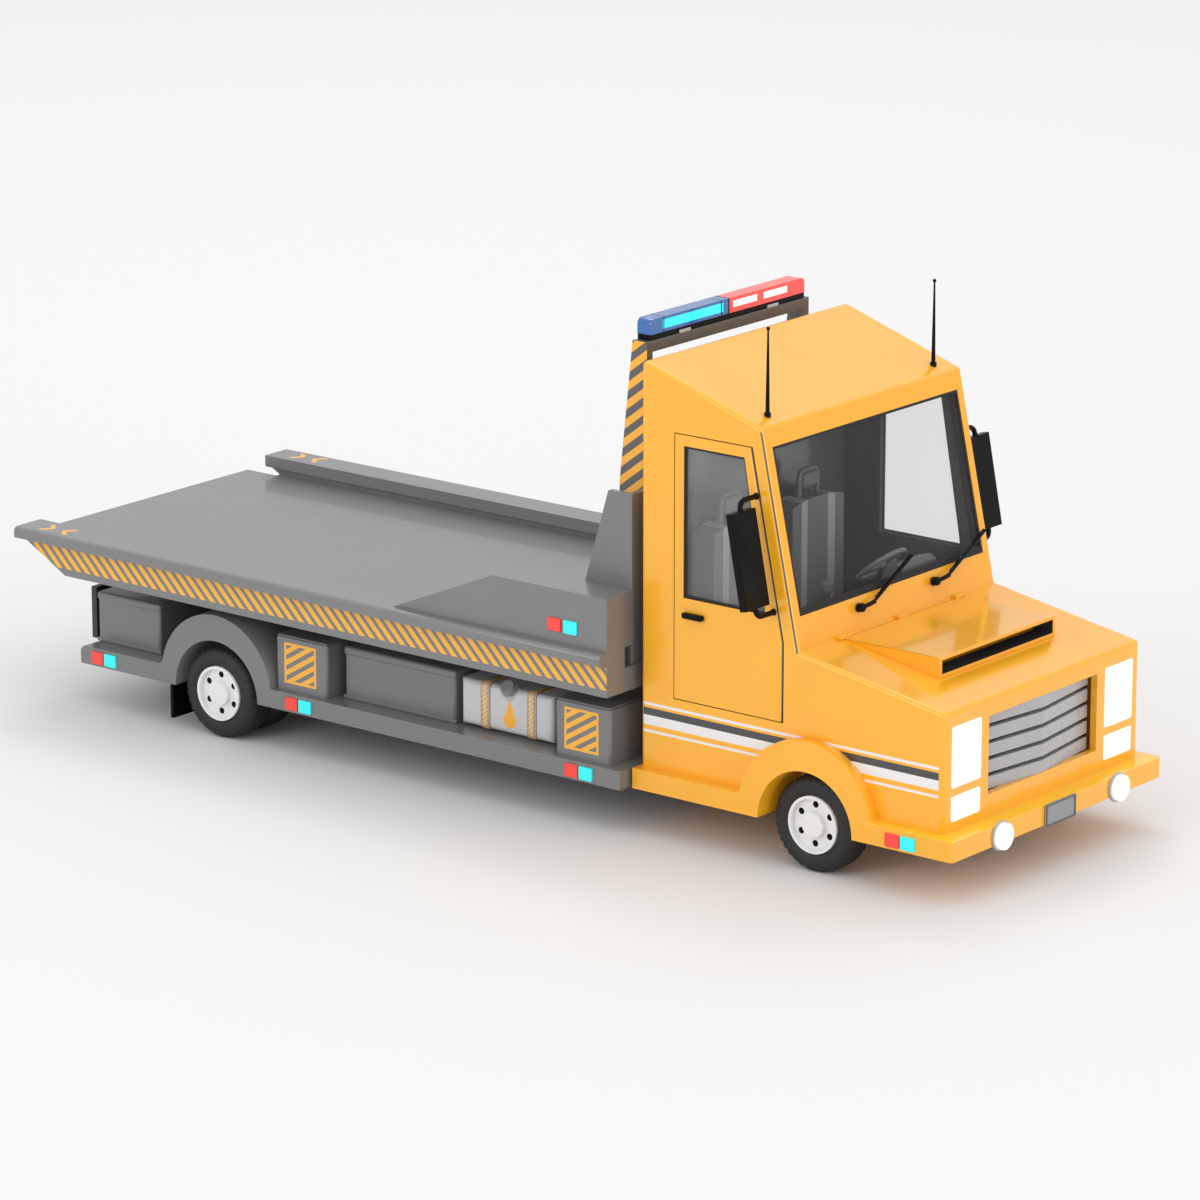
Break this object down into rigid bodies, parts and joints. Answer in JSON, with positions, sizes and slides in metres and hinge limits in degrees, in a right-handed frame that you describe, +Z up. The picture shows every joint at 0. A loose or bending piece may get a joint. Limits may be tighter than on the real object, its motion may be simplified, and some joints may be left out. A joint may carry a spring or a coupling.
{
  "type": "toy flatbed tow truck",
  "caption": "Toy rollback tow truck: cab with opening doors, mirrors and wipers, and a tilting, sliding flat bed with headboard, portal frame and light bar.",
  "frame": {"origin": "on the ground under the middle of the truck's outline", "axes": "+X forward, +Y the truck's left side, +Z up"},
  "size_m": [0.3416, 0.1224, 0.1468],
  "materials": {
    "cab_yellow": "gloss",
    "bed_grey": "gloss",
    "chassis_grey": "gloss",
    "dark_plastic": "satin",
    "interior_grey": "matte",
    "white_plastic": "gloss",
    "light_grey": "gloss",
    "tyre_rubber": "matte",
    "steel": "satin",
    "clear_glass": "clear",
    "red_lens": "gloss",
    "cyan_lens": "gloss"
  },
  "bodies": {
    "chassis": {"antennas": "dark_plastic", "cab_base": "cab_yellow", "cab_shell": "cab_yellow", "chassis_frame": "dark_plastic", "chassis_markers_cyan": "cyan_lens", "chassis_markers_red": "red_lens", "chassis_screws": "steel", "dashboard": "interior_grey", "fog_lamps": "white_plastic", "front_plate": "light_grey", "fuel_tank_left": "light_grey", "fuel_tank_right": "light_grey", "gear_lever": "interior_grey", "grille": "light_grey", "headlights": "white_plastic", "hood_scoop": "cab_yellow", "mud_flaps": "dark_plastic", "rear_boxes": "chassis_grey", "seat_left": "interior_grey", "seat_right": "interior_grey", "side_skirt_left": "chassis_grey", "side_skirt_right": "chassis_grey", "sign_boxes": "chassis_grey", "tilt_pin": "steel", "tool_boxes": "chassis_grey", "windscreen": "clear_glass"},
    "front_wheels": {"front_axle": "steel", "front_rim_left": "white_plastic", "front_rim_right": "white_plastic", "front_tyre_left": "tyre_rubber", "front_tyre_right": "tyre_rubber"},
    "rear_wheels": {"rear_axle": "steel", "rear_rim_left": "white_plastic", "rear_rim_right": "white_plastic", "rear_tyres_left": "tyre_rubber", "rear_tyres_right": "tyre_rubber"},
    "subframe": {"subframe": "chassis_grey"},
    "bed": {"bed": "bed_grey", "headboard": "bed_grey", "portal_frame": "dark_plastic", "light_bar_base": "dark_plastic", "light_lens_red": "red_lens", "light_lens_blue": "cyan_lens", "bed_markers_red": "red_lens", "bed_markers_cyan": "cyan_lens"},
    "door_left": {"door_left": "cab_yellow", "door_glass_left": "clear_glass", "door_handle_left": "dark_plastic", "mirror_bracket_left": "dark_plastic"},
    "door_right": {"door_right": "cab_yellow", "door_glass_right": "clear_glass", "door_handle_right": "dark_plastic", "mirror_bracket_right": "dark_plastic"},
    "mirror_left": {"mirror_left": "dark_plastic"},
    "mirror_right": {"mirror_right": "dark_plastic"},
    "wiper_left": {"wiper_left": "dark_plastic"},
    "wiper_right": {"wiper_right": "dark_plastic"},
    "steering_wheel": {"steering_wheel": "interior_grey"},
    "fuel_cap_left": {"fuel_cap_left": "dark_plastic"},
    "fuel_cap_right": {"fuel_cap_right": "dark_plastic"}
  },
  "joints": [
    {"name": "front_wheels_spin", "type": "hinge", "parent": "chassis", "child": "front_wheels", "pos_m": [0.12, 0, 0.0135], "axis": [0, 1, 0], "continuous": true},
    {"name": "rear_wheels_spin", "type": "hinge", "parent": "chassis", "child": "rear_wheels", "pos_m": [-0.09, 0, 0.0135], "axis": [0, 1, 0], "continuous": true},
    {"name": "bed_tilt", "type": "hinge", "parent": "chassis", "child": "subframe", "pos_m": [-0.1385, 0, 0.0375], "axis": [0, -1, 0], "range_deg": [0, 18]},
    {"name": "bed_slide", "type": "slide", "parent": "subframe", "child": "bed", "axis": [-1, 0, 0], "range_m": [0, 0.108]},
    {"name": "door_left_open", "type": "hinge", "parent": "chassis", "child": "door_left", "pos_m": [0.1079, 0.0455, 0.04055], "axis": [0, 0, -1], "range_deg": [0, 52]},
    {"name": "mirror_left_fold", "type": "hinge", "parent": "door_left", "child": "mirror_left", "pos_m": [0.1036, 0.0543, 0.0866], "axis": [-0.192, 0, 0.9814], "range_deg": [-25, 25]},
    {"name": "wiper_left_sweep", "type": "hinge", "parent": "chassis", "child": "wiper_left", "pos_m": [0.11321, 0.01745, 0.067], "axis": [0.9776, 0, 0.2105], "range_deg": [0, 72]},
    {"name": "fuel_cap_left_turn", "type": "hinge", "parent": "chassis", "child": "fuel_cap_left", "pos_m": [0.0148, 0.0425, 0.028], "axis": [0, 0.7071, 0.7071], "range_deg": [0, 90]},
    {"name": "door_right_open", "type": "hinge", "parent": "chassis", "child": "door_right", "pos_m": [0.1079, -0.0455, 0.04055], "axis": [0, 0, 1], "range_deg": [0, 52]},
    {"name": "mirror_right_fold", "type": "hinge", "parent": "door_right", "child": "mirror_right", "pos_m": [0.1036, -0.0543, 0.0866], "axis": [-0.192, 0, 0.9814], "range_deg": [-25, 25]},
    {"name": "wiper_right_sweep", "type": "hinge", "parent": "chassis", "child": "wiper_right", "pos_m": [0.11321, -0.01745, 0.067], "axis": [0.9776, 0, 0.2105], "range_deg": [0, 72]},
    {"name": "fuel_cap_right_turn", "type": "hinge", "parent": "chassis", "child": "fuel_cap_right", "pos_m": [0.0148, -0.0425, 0.028], "axis": [0, -0.7071, 0.7071], "range_deg": [0, 90]},
    {"name": "steering_turn", "type": "hinge", "parent": "chassis", "child": "steering_wheel", "pos_m": [0.094, 0.02, 0.068], "axis": [-0.6428, 0, 0.766], "continuous": true}
  ],
  "couplings": [
    {"joint": "wiper_right_sweep", "follows": "wiper_left_sweep", "ratio": 1}
  ]
}
